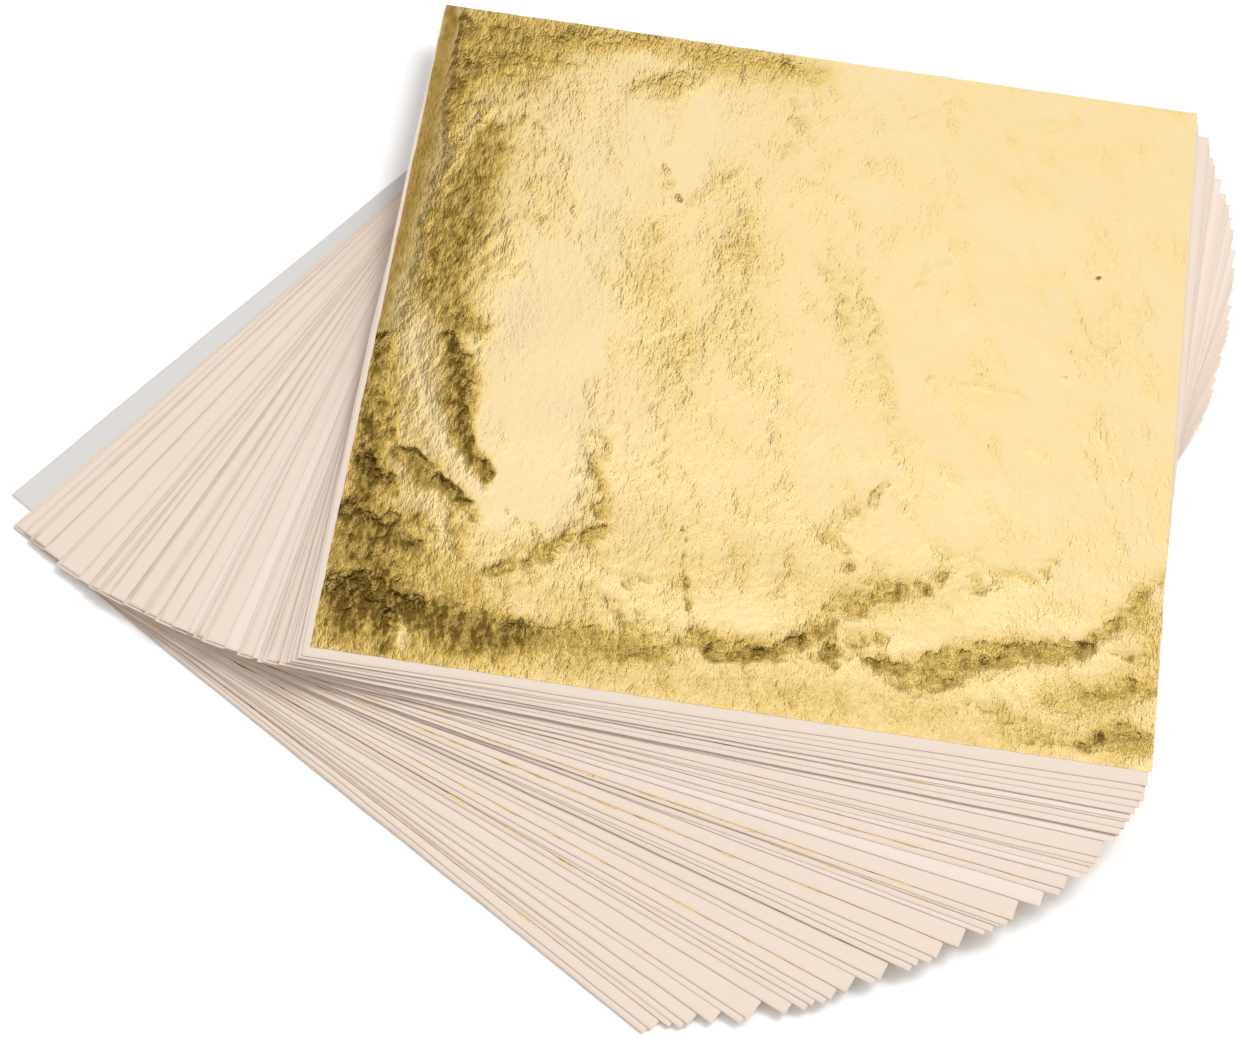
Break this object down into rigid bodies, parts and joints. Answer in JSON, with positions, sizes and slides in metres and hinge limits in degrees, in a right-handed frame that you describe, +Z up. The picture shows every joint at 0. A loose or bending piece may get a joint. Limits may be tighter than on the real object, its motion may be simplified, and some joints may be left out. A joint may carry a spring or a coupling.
{
  "type": "pack of loose gold leaf",
  "caption": "Fanned pack of loose square metal leaf: gold leaves between slightly larger tissue sheets on a pale backing sheet, with a bare crinkled leaf on top.",
  "frame": {"origin": "on the upright axis about which the fan opens, at the underside of the backing sheet", "axes": "+Z up, square to the sheets; +X runs along the front edge of the bare top leaf, and +Y along its left edge, away from the viewer"},
  "size_m": [0.2061, 0.1987, 0.0082],
  "materials": {
    "bare_gold_leaf": "satin",
    "gold_leaf": "satin",
    "peach_tissue": "matte",
    "pale_tissue": "matte",
    "backing_paper": "matte"
  },
  "bodies": {
    "backing": {"backing_sheet": "backing_paper"},
    "fan_01": {"leaf_01": "gold_leaf", "tissue_01": "peach_tissue"},
    "fan_02": {"leaf_02": "gold_leaf", "tissue_02": "peach_tissue"},
    "fan_03": {"leaf_03": "gold_leaf", "tissue_03": "peach_tissue"},
    "fan_04": {"leaf_04": "gold_leaf", "tissue_04": "peach_tissue"},
    "fan_05": {"leaf_05": "gold_leaf", "tissue_05": "peach_tissue"},
    "fan_06": {"leaf_06": "gold_leaf", "tissue_06": "peach_tissue"},
    "fan_07": {"leaf_07": "gold_leaf", "tissue_07": "peach_tissue"},
    "fan_08": {"leaf_08": "gold_leaf", "tissue_08": "peach_tissue"},
    "fan_09": {"leaf_09": "gold_leaf", "tissue_09": "peach_tissue"},
    "fan_10": {"leaf_10": "gold_leaf", "tissue_10": "peach_tissue"},
    "fan_11": {"leaf_11": "gold_leaf", "tissue_11": "peach_tissue"},
    "fan_12": {"leaf_12": "gold_leaf", "tissue_12": "peach_tissue"},
    "fan_13": {"leaf_13": "gold_leaf", "tissue_13": "peach_tissue"},
    "fan_14": {"leaf_14": "gold_leaf", "tissue_14": "peach_tissue"},
    "fan_15": {"leaf_15": "gold_leaf", "tissue_15": "pale_tissue"},
    "fan_16": {"leaf_16": "gold_leaf", "tissue_16": "peach_tissue"},
    "fan_17": {"leaf_17": "gold_leaf", "tissue_17": "peach_tissue"},
    "fan_18": {"leaf_18": "gold_leaf", "tissue_18": "pale_tissue"},
    "fan_19": {"leaf_19": "gold_leaf", "tissue_19": "peach_tissue"},
    "fan_20": {"leaf_20": "gold_leaf", "tissue_20": "pale_tissue"},
    "fan_21": {"leaf_21": "gold_leaf", "tissue_21": "peach_tissue"},
    "fan_22": {"leaf_22": "gold_leaf", "tissue_22": "peach_tissue"},
    "fan_23": {"leaf_23": "gold_leaf", "tissue_23": "pale_tissue"},
    "fan_24": {"leaf_24": "gold_leaf", "tissue_24": "peach_tissue"},
    "fan_25": {"leaf_25": "gold_leaf", "tissue_25": "peach_tissue"},
    "fan_26": {"leaf_26": "gold_leaf", "tissue_26": "pale_tissue"},
    "fan_27": {"leaf_27": "gold_leaf", "tissue_27": "peach_tissue"},
    "fan_28": {"leaf_28": "gold_leaf", "tissue_28": "peach_tissue"},
    "bare_leaf": {"top_leaf": "bare_gold_leaf"}
  },
  "joints": [
    {"name": "turn_01", "type": "hinge", "parent": "backing", "child": "fan_01", "pos_m": [0, 0, 0], "axis": [0, 0, 1], "range_deg": [-1.71, 1.28]},
    {"name": "turn_02", "type": "hinge", "parent": "backing", "child": "fan_02", "pos_m": [0, 0, 0], "axis": [0, 0, 1], "range_deg": [-2.67, 1.98]},
    {"name": "turn_03", "type": "hinge", "parent": "backing", "child": "fan_03", "pos_m": [0, 0, 0], "axis": [0, 0, 1], "range_deg": [-3.65, 2.72]},
    {"name": "turn_04", "type": "hinge", "parent": "backing", "child": "fan_04", "pos_m": [0, 0, 0], "axis": [0, 0, 1], "range_deg": [-4.81, 3.58]},
    {"name": "turn_05", "type": "hinge", "parent": "backing", "child": "fan_05", "pos_m": [0, 0, 0], "axis": [0, 0, 1], "range_deg": [-6.71, 4.99]},
    {"name": "turn_06", "type": "hinge", "parent": "backing", "child": "fan_06", "pos_m": [0, 0, 0], "axis": [0, 0, 1], "range_deg": [-8.58, 6.38]},
    {"name": "turn_07", "type": "hinge", "parent": "backing", "child": "fan_07", "pos_m": [0, 0, 0], "axis": [0, 0, 1], "range_deg": [-10.04, 7.46]},
    {"name": "turn_08", "type": "hinge", "parent": "backing", "child": "fan_08", "pos_m": [0, 0, 0], "axis": [0, 0, 1], "range_deg": [-11.06, 8.22]},
    {"name": "turn_09", "type": "hinge", "parent": "backing", "child": "fan_09", "pos_m": [0, 0, 0], "axis": [0, 0, 1], "range_deg": [-11.95, 8.88]},
    {"name": "turn_10", "type": "hinge", "parent": "backing", "child": "fan_10", "pos_m": [0, 0, 0], "axis": [0, 0, 1], "range_deg": [-13.85, 10.29]},
    {"name": "turn_11", "type": "hinge", "parent": "backing", "child": "fan_11", "pos_m": [0, 0, 0], "axis": [0, 0, 1], "range_deg": [-15.38, 11.43]},
    {"name": "turn_12", "type": "hinge", "parent": "backing", "child": "fan_12", "pos_m": [0, 0, 0], "axis": [0, 0, 1], "range_deg": [-15.92, 11.83]},
    {"name": "turn_13", "type": "hinge", "parent": "backing", "child": "fan_13", "pos_m": [0, 0, 0], "axis": [0, 0, 1], "range_deg": [-17.15, 12.74]},
    {"name": "turn_14", "type": "hinge", "parent": "backing", "child": "fan_14", "pos_m": [0, 0, 0], "axis": [0, 0, 1], "range_deg": [-18.51, 13.75]},
    {"name": "turn_15", "type": "hinge", "parent": "backing", "child": "fan_15", "pos_m": [0, 0, 0], "axis": [0, 0, 1], "range_deg": [-20.14, 14.96]},
    {"name": "turn_16", "type": "hinge", "parent": "backing", "child": "fan_16", "pos_m": [0, 0, 0], "axis": [0, 0, 1], "range_deg": [-21.05, 15.65]},
    {"name": "turn_17", "type": "hinge", "parent": "backing", "child": "fan_17", "pos_m": [0, 0, 0], "axis": [0, 0, 1], "range_deg": [-21.9, 16.28]},
    {"name": "turn_18", "type": "hinge", "parent": "backing", "child": "fan_18", "pos_m": [0, 0, 0], "axis": [0, 0, 1], "range_deg": [-23.67, 17.59]},
    {"name": "turn_19", "type": "hinge", "parent": "backing", "child": "fan_19", "pos_m": [0, 0, 0], "axis": [0, 0, 1], "range_deg": [-25.47, 18.93]},
    {"name": "turn_20", "type": "hinge", "parent": "backing", "child": "fan_20", "pos_m": [0, 0, 0], "axis": [0, 0, 1], "range_deg": [-26.66, 19.81]},
    {"name": "turn_21", "type": "hinge", "parent": "backing", "child": "fan_21", "pos_m": [0, 0, 0], "axis": [0, 0, 1], "range_deg": [-27.72, 20.6]},
    {"name": "turn_22", "type": "hinge", "parent": "backing", "child": "fan_22", "pos_m": [0, 0, 0], "axis": [0, 0, 1], "range_deg": [-28.46, 21.15]},
    {"name": "turn_23", "type": "hinge", "parent": "backing", "child": "fan_23", "pos_m": [0, 0, 0], "axis": [0, 0, 1], "range_deg": [-29.69, 22.06]},
    {"name": "turn_24", "type": "hinge", "parent": "backing", "child": "fan_24", "pos_m": [0, 0, 0], "axis": [0, 0, 1], "range_deg": [-30.78, 22.87]},
    {"name": "turn_25", "type": "hinge", "parent": "backing", "child": "fan_25", "pos_m": [0, 0, 0], "axis": [0, 0, 1], "range_deg": [-31.29, 23.25]},
    {"name": "turn_26", "type": "hinge", "parent": "backing", "child": "fan_26", "pos_m": [0, 0, 0], "axis": [0, 0, 1], "range_deg": [-31.97, 23.75]},
    {"name": "turn_27", "type": "hinge", "parent": "backing", "child": "fan_27", "pos_m": [0, 0, 0], "axis": [0, 0, 1], "range_deg": [-32.61, 24.23]},
    {"name": "fan_spread", "type": "hinge", "parent": "backing", "child": "fan_28", "pos_m": [0, 0, 0], "axis": [0, 0, 1], "range_deg": [-33.65, 25]},
    {"name": "bare_leaf_lift", "type": "slide", "parent": "fan_28", "child": "bare_leaf", "axis": [0, 0, 1], "range_m": [0, 0.06]}
  ],
  "couplings": [
    {"joint": "turn_01", "follows": "fan_spread", "ratio": 0.05051},
    {"joint": "turn_02", "follows": "fan_spread", "ratio": 0.07879},
    {"joint": "turn_03", "follows": "fan_spread", "ratio": 0.10808},
    {"joint": "turn_04", "follows": "fan_spread", "ratio": 0.14242},
    {"joint": "turn_05", "follows": "fan_spread", "ratio": 0.19899},
    {"joint": "turn_06", "follows": "fan_spread", "ratio": 0.25455},
    {"joint": "turn_07", "follows": "fan_spread", "ratio": 0.29798},
    {"joint": "turn_08", "follows": "fan_spread", "ratio": 0.32828},
    {"joint": "turn_09", "follows": "fan_spread", "ratio": 0.35455},
    {"joint": "turn_10", "follows": "fan_spread", "ratio": 0.41111},
    {"joint": "turn_11", "follows": "fan_spread", "ratio": 0.45657},
    {"joint": "turn_12", "follows": "fan_spread", "ratio": 0.47273},
    {"joint": "turn_13", "follows": "fan_spread", "ratio": 0.50909},
    {"joint": "turn_14", "follows": "fan_spread", "ratio": 0.54949},
    {"joint": "turn_15", "follows": "fan_spread", "ratio": 0.59798},
    {"joint": "turn_16", "follows": "fan_spread", "ratio": 0.62525},
    {"joint": "turn_17", "follows": "fan_spread", "ratio": 0.65051},
    {"joint": "turn_18", "follows": "fan_spread", "ratio": 0.70303},
    {"joint": "turn_19", "follows": "fan_spread", "ratio": 0.75657},
    {"joint": "turn_20", "follows": "fan_spread", "ratio": 0.79192},
    {"joint": "turn_21", "follows": "fan_spread", "ratio": 0.82323},
    {"joint": "turn_22", "follows": "fan_spread", "ratio": 0.84545},
    {"joint": "turn_23", "follows": "fan_spread", "ratio": 0.88182},
    {"joint": "turn_24", "follows": "fan_spread", "ratio": 0.91414},
    {"joint": "turn_25", "follows": "fan_spread", "ratio": 0.92929},
    {"joint": "turn_26", "follows": "fan_spread", "ratio": 0.94949},
    {"joint": "turn_27", "follows": "fan_spread", "ratio": 0.96869}
  ]
}
